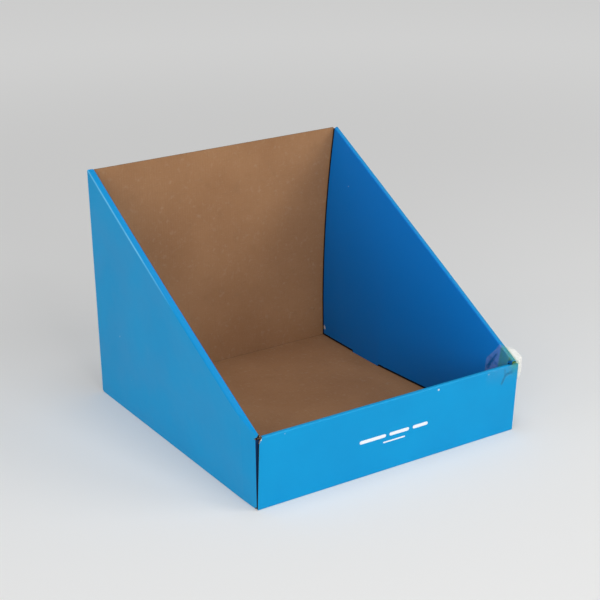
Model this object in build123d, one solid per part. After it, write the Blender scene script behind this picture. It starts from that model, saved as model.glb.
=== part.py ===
from build123d import *
import os

# A counter display box: one die-cut corrugated sheet folded into a tray with a tall back, a low front and
# sloping double sides, and a clear film seal stuck over its right front corner.
# Millimetres, +Z up. The origin is the centre of the floor's underside and the front faces -Y.

# Outside sizes of the tray
tray_width = 340.0
tray_depth = 361.0
back_height = 279.0
front_height = 83.0

# Board, folds and fits
board = 1.6
fold_radius = 0.8
layer_gap = 0.3
fold_relief = 1.0
slot_clearance = 0.6
overrun = 2.0

# Double side walls: the outer panel leans out a little, the ledge rises to the inside
side_spread = 4.0
ledge_run = 7.3
ledge_rise = 3.2
foot_inset = 20.0
panel_bow = 6.5
panel_foot_gap = 2.5
panel_back_gap = 2.9

# Lock tab of an inner side panel, measured from the tray's outside back face
side_tab_length = 57.0
side_tab_taper = 1.5
side_tab_from_back = 101.0

# Front wall: a little lower than the ends of the ledges, its edges draw in toward the top fold
front_drop = 1.8
front_foot_inset = 1.0
front_top_inset = 4.0
front_end_inset = 7.0
front_tab_length = 45.0
front_tab_taper = 1.5
front_tab_spacing = 170.0

# Flaps at the four upright corners
corner_flap_length = 62.0
corner_flap_taper = 9.0
corner_flap_drop = 0.6
back_flap_length = 48.0
back_notch_inset = 2.0

# Film seal over the right front corner: one leaf on the front, one over the ledge, one down the inner panel
film = 0.3
film_gap = 0.1
seal_front_length = 42.0
seal_front_drop = 25.0
seal_ledge_length = 27.0
seal_panel_length = 38.0
seal_panel_drop = 14.0
seal_free_edge = 9.0
seal_corner_radius = 6.0

# Places that follow from the sizes above
half_width = tray_width / 2
front_y = -tray_depth / 2
back_y = tray_depth / 2
fold_outside = fold_radius + board
panel_foot = board + panel_foot_gap
front_stack = 3 * board + 2 * layer_gap
front_top = front_height - front_drop
lean = Vector(side_spread, 0, back_height)
slant = Vector(side_spread * (front_height / back_height - 1), -tray_depth, front_height - back_height)
leg = board * lean.length / back_height
flap_y = front_y + board + layer_gap
side_start_y = flap_y + fold_outside + fold_relief
inside_y = front_y + front_stack
ledge_start_y = inside_y + layer_gap
corner_flap_top = front_top - board - corner_flap_drop
back_flap_x = half_width - leg - layer_gap
outer_crease = Vector(half_width + side_spread, back_height)
inner_crease = outer_crease + Vector(-ledge_run, ledge_rise)
ledge_out = Vector(ledge_run, -ledge_rise).normalized()
ledge_up = Vector(ledge_rise, ledge_run).normalized()
slope = (back_height - front_height) / tray_depth
seal_y = front_y - film_gap - film
wall_top = back_height + ledge_rise + overrun
reach = tray_width + tray_depth + back_height


def slab(low, high):
    """Block that is wider than the tray and lies between two heights."""
    return Pos(0, 0, low) * Box(reach, reach, high - low, align=(Align.CENTER, Align.CENTER, Align.MIN))


def along_x(outline, start, end):
    """Extrude a face drawn in Y and Z from one X to another."""
    return extrude(Plane.YZ.offset(start) * outline, amount=end - start)


def along_y(outline, start, end):
    """Extrude a face drawn in X and Z from one Y to another."""
    return extrude(Plane.XZ.offset(-end) * outline, amount=end - start)


def along_lean(outline, low, high):
    """Extrude a face drawn in plan at floor level along the lean of the right side, between two heights."""
    share = high / back_height
    return extrude(outline, amount=lean.length * share, dir=lean) & slab(low, high)


def sheet(points, thickness, side):
    """Face of a folded strip: a path along the printed side, rounded at its folds, with the board inside."""
    path = FilletPolyline(*points, radius=fold_outside)
    return make_face(offset(path, amount=thickness, side=side))


def wall_outline():
    """Outline of a side wall at the back of the tray in X and Z, filled, down to below the floor."""
    low = -board - overrun
    outer_foot = Vector(half_width + side_spread * low / back_height, low)
    inner_foot = Vector(half_width - foot_inset, 0)
    inner_end = Vector(half_width - foot_inset, low)
    chord = inner_foot - inner_crease
    belly = (inner_crease + inner_foot) / 2 + Vector(chord.Y, -chord.X).normalized() * panel_bow
    outline = make_face(
        [
            Line(outer_foot, outer_crease),
            Line(outer_crease, inner_crease),
            ThreePointArc(inner_crease, belly, inner_foot),
            Line(inner_foot, inner_end),
            Line(inner_end, outer_foot),
        ]
    )
    creases = outline.vertices().sort_by(Axis.Y)[-2:]
    return fillet(creases, fold_outside)


def swept(section):
    """Sweep a section of the right side from the back of the tray down the slope, to just past the front."""
    past_share = 1 + overrun / tray_depth
    return extrude(Plane.XZ.offset(-back_y) * section, amount=slant.length * past_share, dir=slant)


def inboard_of_side(start, end, cut, high):
    """Leaning block inside the right outer panel, whose outer end on its near edge is set back by a cut."""
    outer = half_width - leg
    near = [(0, start), (outer - ledge_run, start), (outer, start + cut)]
    plan = Polyline(*near, (outer, end), (0, end), close=True)
    return along_lean(make_face(plan), 0, high)


def rolled_side():
    """Right side as it is rolled over: outer panel, slanted ledge and bowed inner panel, not yet trimmed."""
    outline = wall_outline()
    return swept(outline - offset(outline, amount=-board))


def ahead_of(place, high):
    """Block that is wider than the tray, ahead of a depth and below a height."""
    block = Box(reach, reach, high + reach, align=(Align.CENTER, Align.MAX, Align.MIN))
    return Pos(0, place, -reach) * block


def side_wall():
    """Right side wall without its tab. Its ledge runs on over the end of the front wall to the front face."""
    wall = rolled_side() & slab(panel_foot, wall_top)
    back_cut = board + panel_back_gap
    wall -= inboard_of_side(back_y - back_cut, back_y + overrun, back_cut, wall_top)
    wall -= inboard_of_side(front_y - overrun, ledge_start_y, 0, front_top + layer_gap)
    wall -= ahead_of(side_start_y, corner_flap_top + layer_gap)
    return wall - ahead_of(front_y, wall_top)


def side_tab():
    """Lock tab under the right inner panel, down to the floor's underside."""
    rear = back_y - side_tab_from_back + side_tab_length / 2
    front = rear - side_tab_length
    tab_side = make_face(
        Polyline(
            (front, panel_foot),
            (rear, panel_foot),
            (rear - side_tab_taper, 0),
            (front + side_tab_taper, 0),
            close=True,
        )
    )
    return rolled_side() & along_x(tab_side, 0, half_width - foot_inset / 2)


def side_base():
    """Fold between the floor and the right outer panel."""
    inner = half_width - fold_outside - fold_relief
    above = panel_foot + overrun
    top = half_width + side_spread * above / back_height
    section = sheet([(inner, 0), (half_width, 0), (top, above)], board, Side.LEFT)
    strip = along_y(section, side_start_y, back_y - fold_outside - fold_relief)
    return strip & slab(0, panel_foot)


def corner_flap():
    """Flap from the front edge of the right outer panel, folded in behind the front wall."""
    tip = half_width - corner_flap_length
    plan = sheet([(tip, flap_y), (half_width, flap_y), (half_width, side_start_y)], leg, Side.LEFT)
    top = corner_flap_top
    flap = along_lean(plan, panel_foot, top)
    shape = Polyline(
        (half_width + side_spread, panel_foot),
        (half_width - fold_outside, panel_foot),
        (tip, panel_foot + corner_flap_taper),
        (tip, top - corner_flap_taper),
        (half_width - fold_outside, top),
        (half_width + side_spread, top),
        close=True,
    )
    return flap & along_y(make_face(shape), flap_y, side_start_y)


def back_half():
    """Right half of the back panel with the flap that runs forward inside the side wall."""
    tip = back_y - back_flap_length
    plan = sheet([(0, back_y), (back_flap_x, back_y), (back_flap_x, tip)], board, Side.RIGHT)
    half = along_lean(plan, panel_foot, back_height)
    top = back_height - board - layer_gap
    above = Polyline(
        (back_y + overrun, top + slope * overrun),
        (tip - overrun, top - slope * (back_flap_length + overrun)),
        (tip - overrun, back_height + overrun),
        (back_y + overrun, back_height + overrun),
        close=True,
    )
    return half - along_x(make_face(above), inner_crease.X - back_notch_inset, outer_crease.X + overrun)


def back_middle():
    """Middle of the back panel and the fold between the back panel and the floor."""
    middle_width = tray_width - 2 * foot_inset
    panel = Pos(0, back_y, panel_foot) * Box(
        middle_width,
        board,
        back_height - panel_foot,
        align=(Align.CENTER, Align.MAX, Align.MIN),
    )
    inner = back_y - fold_outside - fold_relief
    section = sheet([(inner, 0), (back_y, 0), (back_y, panel_foot)], board, Side.LEFT)
    edge = back_flap_x - fold_outside
    return panel + along_x(section, -edge, edge)


def front_tab(place):
    """Lock tab under the inner front panel, down to the floor's underside."""
    half = front_tab_length / 2
    shape = Polyline(
        (place - half, panel_foot),
        (place + half, panel_foot),
        (place + half - front_tab_taper, 0),
        (place - half + front_tab_taper, 0),
        close=True,
    )
    return along_y(make_face(shape), inside_y - board, inside_y)


def front_shape(foot, foot_inset_x):
    """Outline in X and Z of one layer of the front wall, drawn in from its foot to the top fold."""
    foot_x = half_width - foot_inset_x
    crease_x = half_width - front_top_inset
    shoulder = front_top - fold_outside
    return make_face(
        Polyline(
            (-foot_x, foot),
            (foot_x, foot),
            (crease_x, shoulder),
            (crease_x, front_top),
            (-crease_x, front_top),
            (-crease_x, shoulder),
            close=True,
        )
    )


def front_wall():
    """Front wall rolled over at the top, with the lock tabs of its inner panel."""
    low = -board - overrun
    foot = [(front_y, low), (inside_y, low)]
    rim = [(inside_y, front_top), (front_y, front_top)]
    roll = make_face(Polyline(*foot, *rim, close=True))
    roll = fillet(roll.vertices().sort_by(Axis.Y)[-2:], fold_outside)
    wall = along_x(roll - offset(roll, amount=-board), -half_width, half_width)
    base_start = front_y + fold_outside + fold_relief
    base_section = sheet([(base_start, 0), (front_y, 0), (front_y, panel_foot)], board, Side.RIGHT)
    base = along_x(base_section, -half_width, half_width)
    middle = (front_y + inside_y) / 2
    outer_shape = front_shape(0, front_foot_inset)
    outer = wall & along_y(outer_shape, front_y, middle) & slab(panel_foot, front_top)
    inner = wall & along_y(front_shape(panel_foot, front_end_inset), middle, inside_y)
    return outer + inner + (base & along_y(outer_shape, front_y, base_start)) + front_tabs


def seal_front():
    """Leaf of the seal on the front face, drawn out past the side and up to the ledge leaf."""
    raised = Vector(slant.X, slant.Z) + ledge_up * (film_gap + film)
    crease = inner_crease + raised
    free_end = outer_crease + raised + ledge_out * seal_free_edge
    low = front_height - seal_front_drop
    start = half_width - seal_front_length
    shoulder = front_top - fold_outside
    shape = make_face(
        Polyline(
            (start, low),
            (free_end.X, low),
            (free_end.X, free_end.Y),
            (crease.X, crease.Y),
            (crease.X, shoulder),
            (start, shoulder),
            close=True,
        )
    )
    shape = fillet(shape.vertices().sort_by(Axis.Y)[:2], seal_corner_radius)
    return along_y(shape, seal_y, front_y - film_gap)


def seal_free_leaf():
    """Leaf of the seal over the outer half of the ledge, standing out past the outer crease."""
    start = (outer_crease + inner_crease) / 2 + ledge_up * film_gap
    end = outer_crease + ledge_out * seal_free_edge + ledge_up * film_gap
    thick = ledge_up * film
    strip = make_face(Polyline(start, end, end + thick, start + thick, close=True))
    free_x = outer_crease.X + slant.X + ledge_out.X * seal_free_edge
    plan = make_face(
        Polyline(
            (0, seal_y),
            (free_x, seal_y),
            (free_x, front_y + seal_ledge_length),
            (0, front_y + seal_ledge_length),
            close=True,
        )
    )
    corner = plan.vertices().sort_by(Axis.X)[-2:].sort_by(Axis.Y)[-1]
    return swept(strip) & extrude(fillet(corner, seal_corner_radius), amount=back_height)


def seal_panel_leaf():
    """Leaf of the seal over the inner half of the ledge and down the inner panel, behind the front wall."""
    outline = wall_outline()
    skin = offset(outline, amount=film_gap + film) - offset(outline, amount=film_gap)
    middle = (outer_crease + inner_crease) / 2 - ledge_out * film
    ledge_height = front_height + ledge_rise + slope * seal_ledge_length + overrun
    low = front_height - seal_panel_drop
    depth = ledge_rise + slope * seal_panel_length + seal_panel_drop + 2 * overrun
    skin &= Pos(middle.X, inner_crease.Y + overrun) * Rectangle(foot_inset, depth, align=Align.MAX)
    side = make_face(
        Polyline(
            (seal_y, low),
            (front_y + seal_panel_length, low),
            (front_y + seal_panel_length, front_height),
            (front_y + seal_ledge_length, ledge_height),
            (seal_y, ledge_height),
            close=True,
        )
    )
    side = fillet(side.vertices().sort_by(Axis.X)[-2:], seal_corner_radius)
    rim = Pos(0, seal_y, 0) * Box(
        reach,
        ledge_start_y - seal_y,
        2 * (front_top + layer_gap),
        align=(Align.CENTER, Align.MIN, Align.CENTER),
    )
    return (swept(skin) & along_x(side, 0, tray_width)) - rim


def slot_for(tab):
    """Slot in the floor around a tab."""
    box = tab.bounding_box()
    size = box.size
    centre = box.center()
    length = size.Y + 2 * slot_clearance
    width = size.X + 2 * slot_clearance
    return Pos(centre.X, centre.Y, 0) * Box(width, length, 2 * (board + overrun))


def both_sides(piece):
    """A piece of the right side and its mirror image on the left."""
    return [piece, mirror(piece, about=Plane.YZ)]


side_tabs = both_sides(side_tab())
front_tabs = [front_tab(-front_tab_spacing / 2), front_tab(front_tab_spacing / 2)]

floor = Box(
    tray_width - 2 * fold_outside,
    tray_depth - 2 * fold_outside,
    board,
    align=(Align.CENTER, Align.CENTER, Align.MIN),
)
for tab in side_tabs + front_tabs:
    floor -= slot_for(tab)

folded_tray = floor + front_wall() + back_middle() + side_tabs
for piece in (side_wall(), side_base(), corner_flap(), back_half()):
    folded_tray += both_sides(piece)

corner_seal = seal_front() + seal_free_leaf() + seal_panel_leaf()

os.makedirs("parts", exist_ok=True)
export_step(folded_tray, "parts/folded_tray.step")
export_step(corner_seal, "parts/corner_seal.step")
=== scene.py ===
"""Looks of a counter display box: one printed corrugated sheet folded into a tray, and a film seal."""
import logging
import math
from collections.abc import Callable, Collection
from dataclasses import dataclass
from enum import IntEnum

import bmesh
import bpy
from bmesh.types import BMEdge, BMesh, BMFace, BMLayerItem, BMVert
from bpy.types import Material, Node, NodeOutputs, NodeSocket, NodeTree, Object
from mathutils import Matrix, Vector, geometry, noise


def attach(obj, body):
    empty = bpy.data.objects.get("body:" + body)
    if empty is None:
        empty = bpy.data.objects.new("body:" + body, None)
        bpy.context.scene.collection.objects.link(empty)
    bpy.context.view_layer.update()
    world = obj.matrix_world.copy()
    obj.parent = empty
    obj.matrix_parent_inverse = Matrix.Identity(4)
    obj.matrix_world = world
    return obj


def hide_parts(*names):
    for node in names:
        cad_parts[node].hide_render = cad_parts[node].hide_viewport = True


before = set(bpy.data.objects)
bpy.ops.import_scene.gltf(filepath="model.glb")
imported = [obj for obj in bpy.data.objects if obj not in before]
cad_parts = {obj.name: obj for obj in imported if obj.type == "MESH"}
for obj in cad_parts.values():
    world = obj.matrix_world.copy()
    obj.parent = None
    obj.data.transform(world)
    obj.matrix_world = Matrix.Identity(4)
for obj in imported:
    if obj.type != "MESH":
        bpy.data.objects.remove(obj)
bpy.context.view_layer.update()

LOG = logging.getLogger("display_box")
BODY = "root"
METRES_PER_MM = 0.001
NEAR = 0.01
# Crease mark of most folds: it cracks and lightens the print a little, and darkens the kraft with painted
# shade
FAINT_CREASE_MARK = 0.3
FLAT_FOLD = 0.05
LEVEL = 0.99
HALVINGS = 40
FLUTE_PITCH = 0.0033
VECTOR_INPUTS = ("Vector", "Blank", "Centre")

Colour = tuple[float, float, float, float]
Point = tuple[float, float, float]
Span = tuple[float, float]
Place = Callable[[Vector], Vector]
Value = NodeSocket | float

# Where most values of a noise texture lie, and where nearly all do
MIDDLE: Span = (0.3, 0.7)
WIDE: Span = (0.2, 0.8)
# From the edge of a hollow wall to well inside it, in millimetres, over which painted shade sets in
HOLLOW: Span = (-0.2, 0.5)


class Panel(IntEnum):
    """Panels of the die-cut sheet, named from the fold they lie beyond."""

    FLOOR = 0
    FRONT = 1
    FRONT_ROLL = 2
    FRONT_INSIDE = 3
    SIDE = 4
    LEDGE = 5
    SIDE_INSIDE = 6
    BACK = 7
    BACK_FLAP = 8
    CORNER_FLAP = 9


FRONT_PANELS = (Panel.FRONT, Panel.FRONT_ROLL, Panel.FRONT_INSIDE)


class Skin(IntEnum):
    """Material slots of the board: the two faces of the sheet and its cut edge."""

    PRINT = 0
    KRAFT = 1
    CUT_EDGE = 2


class Leaf(IntEnum):
    """Leaves of the film seal."""

    PANEL = 0
    LEDGE = 1
    FRONT = 2
    FREE = 3


class Axis(IntEnum):
    """Axes that cuts run square to."""

    X = 0
    Y = 1
    Z = 2

    @property
    def unit(self) -> Vector:
        """Return the unit vector along the axis."""
        return Vector([float(index == self) for index in range(3)])


def held(value: float) -> float:
    """Return a value held between 0 and 1."""
    return max(0.0, min(1.0, value))


def meets(first: float, second: float) -> bool:
    """Tell whether two measures are as good as the same."""
    return abs(first - second) < NEAR


def blend(first: float, second: float, share: float) -> float:
    """Return the value at a share of the way from one to another."""
    return first + (second - first) * share


def added(name: str, data: bpy.types.ID) -> Object:
    """Add a new object to the scene.

    Args:
        name: Name of the object.
        data: Mesh, lamp or camera that it shows.

    Returns:
        The object, at the origin.
    """
    thing = bpy.data.objects.new(name, data)
    bpy.context.scene.collection.objects.link(thing)
    return thing


def meshed(name: str, bm: BMesh) -> Object:
    """Add an object with the shape of a bmesh.

    Args:
        name: Name of the object and its mesh.
        bm: Shape, which is used up.

    Returns:
        The object, at the origin.
    """
    mesh = bpy.data.meshes.new(name)
    bm.to_mesh(mesh)
    bm.free()
    return added(name, mesh)


class NodeBench:
    """Places nodes in one node tree and wires them up."""

    def __init__(self, tree: NodeTree) -> None:
        """Keep the tree that the nodes go into."""
        self.tree = tree

    def add(self, kind: str, *values: object, **settings: object) -> Node:
        """Place a node, set its options and feed its inputs in order.

        Args:
            kind: Blender's name of the node type.
            values: Input values in the order of the node's sockets.
            settings: Properties of the node.

        Returns:
            The new node.
        """
        node = self.tree.nodes.new(kind)
        for name, value in settings.items():
            setattr(node, name, value)
        for socket, value in zip(node.inputs, values):
            self.feed(socket, value)
        return node

    def feed(self, socket: NodeSocket, value: object) -> None:
        """Link an input to a socket, or set its value.

        Args:
            socket: Input of a node.
            value: Socket or plain value, or None to pass the input over.
        """
        if isinstance(value, NodeSocket):
            self.tree.links.new(value, socket)
        elif value is not None:
            socket.default_value = value

    def wire(self, node: Node, **values: object) -> Node:
        """Feed a node's inputs by name.

        Args:
            node: Node that is fed.
            values: Inputs by name, with _ for a space.

        Returns:
            The same node.
        """
        for name, value in values.items():
            self.feed(node.inputs[name.replace("_", " ")], value)
        return node

    def math(self, operation: str, *values: Value, clamp: bool = False) -> NodeSocket:
        """Return the result of a Math node."""
        return self.add("ShaderNodeMath", *values, operation=operation, use_clamp=clamp).outputs[0]

    def times(self, first: Value, second: Value) -> NodeSocket:
        """Return the product of two values."""
        return self.math("MULTIPLY", first, second)

    def split(self, vector: NodeSocket) -> NodeOutputs:
        """Return the three parts of a vector."""
        return self.add("ShaderNodeSeparateXYZ", vector).outputs

    def attribute(self, name: str) -> NodeSocket:
        """Return a value that is marked on the mesh."""
        return self.add("ShaderNodeAttribute", attribute_name=name).outputs["Fac"]

    def mix(self, share: Value, first: NodeSocket | Colour, second: NodeSocket | Colour) -> NodeSocket:
        """Lay one colour over another.

        Args:
            share: How much of the second colour shows.
            first: Colour below.
            second: Colour above.

        Returns:
            The colour socket of the blend.
        """
        node = self.add("ShaderNodeMix", data_type="RGBA")
        for index, value in ((0, share), (6, first), (7, second)):
            self.feed(node.inputs[index], value)
        return node.outputs[2]

    def step(self, value: Value, low: Value, high: Value, *to: float) -> NodeSocket:
        """Return a value eased from one range to another, which is 0 to 1 if none is given."""
        node = self.add("ShaderNodeMapRange", value, low, high, *to, interpolation_type="SMOOTHSTEP")
        return node.outputs[0]

    def noise(self, vector: NodeSocket, scale: Value, detail: float = 2.0, rough: float = 0.5) -> NodeSocket:
        """Return a noise texture with so many features per metre, about 0.5 on average."""
        node = self.add("ShaderNodeTexNoise")
        return self.wire(node, Vector=vector, Scale=scale, Detail=detail, Roughness=rough).outputs["Fac"]

    def group(self, tree: NodeTree, **values: object) -> NodeOutputs:
        """Place a shared effect, feed its inputs by name and return its outputs."""
        return self.wire(self.add("ShaderNodeGroup", node_tree=tree), **values).outputs


@dataclass
class Effects:
    """Shared effects of paper, print and film, each built once as a node group.

    Scales are features per metre, or shares of the scale that a group is given.
    """

    strands: tuple[tuple[float, Point], ...] = (
        (0.6, (9.0, 1.0, 1.0)),
        (-0.7, (1.0, 8.0, 1.0)),
        (0.25, (1.0, 1.0, 8.0)),
    )
    strand_limits: Span = (0.56, 0.78)
    cloud_share: float = 0.07
    tooth_share: float = 6.0
    washboard_scale: float = 14.0
    washboard_least: float = 0.35
    speck_least: float = 0.05
    speck_spread: float = 0.16
    crack_scale: float = 900.0
    crack_patches: Span = (0.35, 0.75)
    crack_limits: Span = (0.80, 0.58)
    crack_edge: float = 0.06
    cracked_creases: Span = (0.45, 0.95)
    patch_scale: float = 16.0
    # Lighter line along the creases: partly rubbed print, partly a painted highlight
    rub_highlight_patches: Span = (0.25, 0.70)
    rub_highlight_least: float = 0.55
    rub_highlight_creases: Span = (0.25, 0.80)
    nick_scale: float = 1100.0
    nick_reach: Span = (0.5, 1.4)

    def __post_init__(self) -> None:
        """Build every group."""
        self._fibre()
        self._flutes()
        self._specks()
        self._cracks()
        self._nick()
        self._bar()

    @staticmethod
    def _group(
        name: str, inputs: tuple[str, ...], outputs: tuple[str, ...]
    ) -> tuple[NodeBench, NodeOutputs, Node]:
        """Start a node group.

        Args:
            name: Name of the group.
            inputs: Names of its inputs.
            outputs: Names of its values.

        Returns:
            Its bench, the sockets of its inputs, and its output node.
        """
        tree = bpy.data.node_groups.new(name, "ShaderNodeTree")
        for socket in inputs:
            kind = "NodeSocketVector" if socket in VECTOR_INPUTS else "NodeSocketFloat"
            tree.interface.new_socket(socket, in_out="INPUT", socket_type=kind)
        for socket in outputs:
            tree.interface.new_socket(socket, in_out="OUTPUT", socket_type="NodeSocketFloat")
        bench = NodeBench(tree)
        return bench, bench.add("NodeGroupInput").outputs, bench.add("NodeGroupOutput")

    def _fibre(self) -> None:
        """Build the group for paper fibres, cloudy pulp and fine tooth."""
        bench, given, out = self._group("paper_fibre", ("Vector", "Scale"), ("Fibre", "Cloud", "Tooth"))
        self.fibre = bench.tree
        where, scale = given["Vector"], given["Scale"]
        strand = 0.0
        for turn, stretch in self.strands:
            turned = bench.add("ShaderNodeMapping", where, None, (turn, -turn, turn), stretch)
            strand = bench.math("MAXIMUM", strand, bench.noise(turned.outputs[0], scale, rough=0.6))
        bench.wire(
            out,
            Fibre=bench.step(strand, *self.strand_limits),
            Cloud=bench.noise(where, bench.times(scale, self.cloud_share), detail=4.0, rough=0.55),
            Tooth=bench.noise(where, bench.times(scale, self.tooth_share), detail=3.0, rough=0.6),
        )

    def _flutes(self) -> None:
        """Build the group for the flutes' wave, and the washboard that it presses into the liners."""
        bench, given, out = self._group("flute_lines", ("Blank", "Pitch"), ("Wave", "Height"))
        self.flutes = bench.tree
        along = bench.math("DIVIDE", bench.split(given["Blank"])[0], given["Pitch"])
        wave = bench.math("SINE", bench.times(along, math.tau))
        uneven = bench.noise(given["Blank"], self.washboard_scale)
        pressed = bench.step(uneven, *MIDDLE, self.washboard_least, 1.0)
        height = bench.times(bench.math("MULTIPLY_ADD", wave, 0.5, 0.5), pressed)
        bench.wire(out, Wave=wave, Height=height)

    def _specks(self) -> None:
        """Build the group for sparse small specks of dust or pulp."""
        bench, given, out = self._group("specks", ("Vector", "Scale", "Share"), ("Mask",))
        self.specks = bench.tree
        cells = bench.add("ShaderNodeTexVoronoi", given["Vector"], None, given["Scale"]).outputs
        chance = bench.add("ShaderNodeSeparateColor", cells["Color"]).outputs
        size = bench.math("MULTIPLY_ADD", chance[1], self.speck_spread, self.speck_least)
        near = bench.math("LESS_THAN", cells["Distance"], size)
        bench.wire(out, Mask=bench.times(near, bench.math("LESS_THAN", chance[0], given["Share"])))

    def _cracks(self) -> None:
        """Build the group for print that cracks where the sheet is creased, and turns lighter there from
        rubbing and a painted highlight.
        """
        bench, given, out = self._group("crease_cracks_and_highlight", ("Vector", "Crease"), ("Crack", "Rub"))
        self.cracks = bench.tree
        where, crease = given["Vector"], given["Crease"]
        patchy = bench.noise(where, self.patch_scale)
        limit = bench.step(patchy, *self.crack_patches, *self.crack_limits)
        ragged = bench.noise(where, self.crack_scale, detail=4.0, rough=0.75)
        crack = bench.step(ragged, limit, bench.math("ADD", limit, self.crack_edge))
        # Partly rubbed print, partly a painted highlight on the rounded crease
        rub_and_highlight = bench.step(patchy, *self.rub_highlight_patches, self.rub_highlight_least, 1.0)
        bench.wire(
            out,
            Crack=bench.times(crack, bench.step(crease, *self.cracked_creases)),
            Rub=bench.times(rub_and_highlight, bench.step(crease, *self.rub_highlight_creases)),
        )

    def _nick(self) -> None:
        """Build the group for one small ragged nick at a known place."""
        bench, given, out = self._group("nick", ("Vector", "Centre", "Radius"), ("Mask",))
        self.nick = bench.tree
        places = (given["Vector"], given["Centre"])
        away = bench.add("ShaderNodeVectorMath", *places, operation="DISTANCE").outputs["Value"]
        ragged = bench.noise(given["Vector"], self.nick_scale, rough=0.6)
        reach = bench.times(given["Radius"], bench.step(ragged, *MIDDLE, *self.nick_reach))
        bench.wire(out, Mask=bench.math("LESS_THAN", away, reach))

    def _bar(self) -> None:
        """Build the group for a plain round-ended bar printed on the front panel."""
        inputs = ("Vector", "Centre", "Half Length", "Half Height")
        bench, given, out = self._group("printed_bar", inputs, ("Mask",))
        self.bar = bench.tree
        places = (given["Vector"], given["Centre"])
        off = bench.split(bench.add("ShaderNodeVectorMath", *places, operation="SUBTRACT").outputs[0])
        straight = bench.math("SUBTRACT", given["Half Length"], given["Half Height"])
        past = bench.math("MAXIMUM", bench.math("SUBTRACT", bench.math("ABSOLUTE", off[0]), straight), 0.0)
        square = bench.math("MULTIPLY_ADD", past, past, bench.times(off[2], off[2]))
        bench.wire(out, Mask=bench.math("LESS_THAN", bench.math("SQRT", square), given["Half Height"]))


@dataclass(frozen=True)
class Bar:
    """A plain white bar in the front's print, in metres."""

    centre: Point
    half_length: float
    half_height: float


@dataclass(frozen=True)
class Nick:
    """A small place where the surface is torn or dirty, in metres."""

    centre: Point
    radius: float


class Surface(NodeBench):
    """Bench of one material, with its shader, its coordinates and the shared effects."""

    def __init__(self, name: str, effects: Effects | None = None) -> None:
        """Start a material with one surface shader.

        Args:
            name: Name of the material.
            effects: Shared effects, where it has any.
        """
        self.material = bpy.data.materials.new(name)
        self.material.use_nodes = True
        self.material.node_tree.nodes.clear()
        super().__init__(self.material.node_tree)
        self.effects = effects
        self.shader = self.add("ShaderNodeBsdfPrincipled")
        self.add("ShaderNodeOutputMaterial", self.shader.outputs[0])
        self.where = self.add("ShaderNodeTexCoord").outputs["Object"]

    def fibre(self, scale: float) -> NodeOutputs:
        """Return paper fibre at a scale."""
        return self.group(self.effects.fibre, Vector=self.where, Scale=scale)

    def specks(self, scale: float, share: float) -> NodeSocket:
        """Return a mask of sparse specks."""
        return self.group(self.effects.specks, Vector=self.where, Scale=scale, Share=share)[0]

    def flutes(self) -> NodeOutputs:
        """Return the flutes of the board, which follow its blank."""
        blank = self.add("ShaderNodeUVMap", uv_map="blank").outputs[0]
        return self.group(self.effects.flutes, Blank=blank, Pitch=FLUTE_PITCH)

    def nicked(self, nicks: tuple[Nick, ...]) -> Value:
        """Mark small torn or dirty places.

        Args:
            nicks: Places and sizes.

        Returns:
            A mask that is 1 on the nicks.
        """
        mask = 0.0
        for nick in nicks:
            found = self.group(self.effects.nick, Vector=self.where, Centre=nick.centre, Radius=nick.radius)
            mask = self.math("MAXIMUM", mask, found[0])
        return mask

    def shaded(self, colour: NodeSocket, painted_shade: Colour) -> NodeSocket:
        """Return a colour that turns to painted shade where the sheet lies in a hollow wall."""
        return self.mix(self.step(self.attribute("hollow"), *HOLLOW), colour, painted_shade)

    def bump(self, *heights: tuple[NodeSocket, float]) -> None:
        """Stack heights into one bump on the shader.

        Args:
            heights: Pairs of a height and its depth in metres.
        """
        total = 0.0
        for height, depth in heights:
            total = self.math("MULTIPLY_ADD", height, depth, total)
        node = self.wire(self.add("ShaderNodeBump"), Distance=1.0, Height=total)
        self.wire(self.shader, Normal=node.outputs[0])


class Finish:
    """What the finishes share: each has a name and paints a surface of its own."""

    name: str

    def material(self, effects: Effects) -> Material:
        """Build the material.

        Args:
            effects: Shared effects.

        Returns:
            The finished material.
        """
        surface = Surface(self.name, effects)
        self.paint(surface)
        return surface.material

    def paint(self, on: Surface) -> None:
        """Wire up a surface, each finish in its own way."""
        raise NotImplementedError(self.name)


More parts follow.
